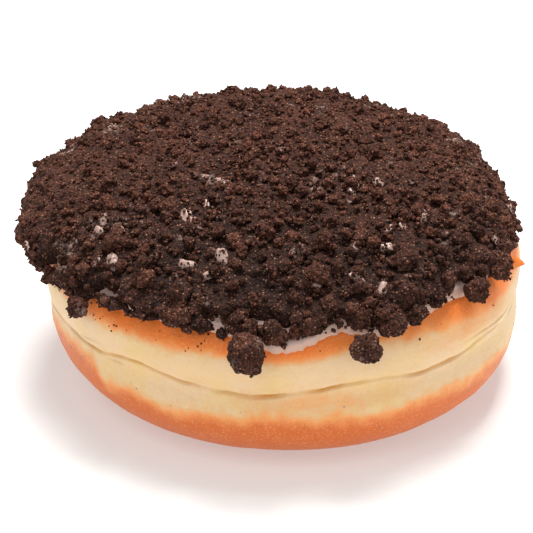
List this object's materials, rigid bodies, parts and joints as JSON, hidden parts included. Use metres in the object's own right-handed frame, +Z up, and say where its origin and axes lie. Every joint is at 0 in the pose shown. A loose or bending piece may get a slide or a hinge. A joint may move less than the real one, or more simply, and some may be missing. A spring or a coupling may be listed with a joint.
{
  "type": "iced doughnut with cookie crumb topping",
  "caption": "Round filled yeast doughnut with a side crease, white icing over its crown and a thick heap of crushed chocolate cookie on top.",
  "frame": {"origin": "middle of the flat spot that the doughnut rests on", "axes": "+Z up through the crown, front towards -Y, +X to the right of the front"},
  "size_m": [0.0959, 0.1021, 0.0446],
  "materials": {
    "dough": "fried yeast dough, satin, pale on the side and browned above and below",
    "icing": "set white sugar icing, soft gloss",
    "crumb": "crushed dark chocolate cookie, matt and rough"
  },
  "bodies": {
    "root": {"dough": "dough", "icing": "icing", "crumb_topping": "crumb", "cookie_chunk_1": "crumb", "cookie_chunk_2": "crumb", "cookie_chunk_3": "crumb", "cookie_chunk_4": "crumb", "cookie_chunk_5": "crumb", "cookie_chunk_6": "crumb", "cookie_chunk_7": "crumb", "cookie_chunk_8": "crumb", "cookie_chunk_9": "crumb", "cookie_chunk_10": "crumb", "cookie_chunk_11": "crumb"}
  },
  "joints": []
}
